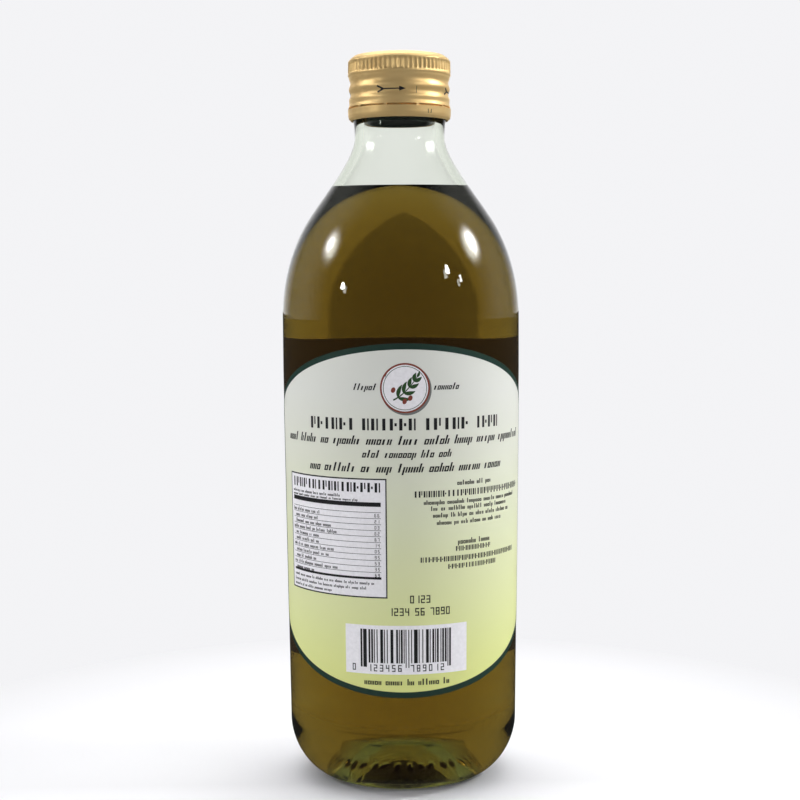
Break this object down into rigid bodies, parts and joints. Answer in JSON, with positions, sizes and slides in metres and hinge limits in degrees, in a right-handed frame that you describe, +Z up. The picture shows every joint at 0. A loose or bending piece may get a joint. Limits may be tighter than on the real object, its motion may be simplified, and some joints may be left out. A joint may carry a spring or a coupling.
{
  "type": "olive oil bottle",
  "caption": "Tall round clear glass bottle of green-gold olive oil with a domed shoulder, wrapped paper labels and a knurled gold screw cap on its short neck.",
  "frame": {"origin": "middle of the base, on the plane that the bearing ring rests on", "axes": "+Z up along the bottle's axis, -Y the way the small-print label faces, +Y the way the other label faces"},
  "size_m": [0.0872, 0.0878, 0.265],
  "materials": {
    "glass": "clear faintly green flint glass, polished",
    "oil": "clear green-gold liquid",
    "label_paper": "satin coated printed paper, white fading to pale yellow-green, with a dark green edge",
    "cap_metal": "satin gold lacquered aluminium",
    "pourer_plastic": "dark grey-green moulded plastic"
  },
  "bodies": {
    "root": {"glass_bottle": "glass", "oil": "oil", "back_label": "label_paper", "front_label": "label_paper", "cap": "cap_metal", "pourer": "pourer_plastic"}
  },
  "joints": []
}
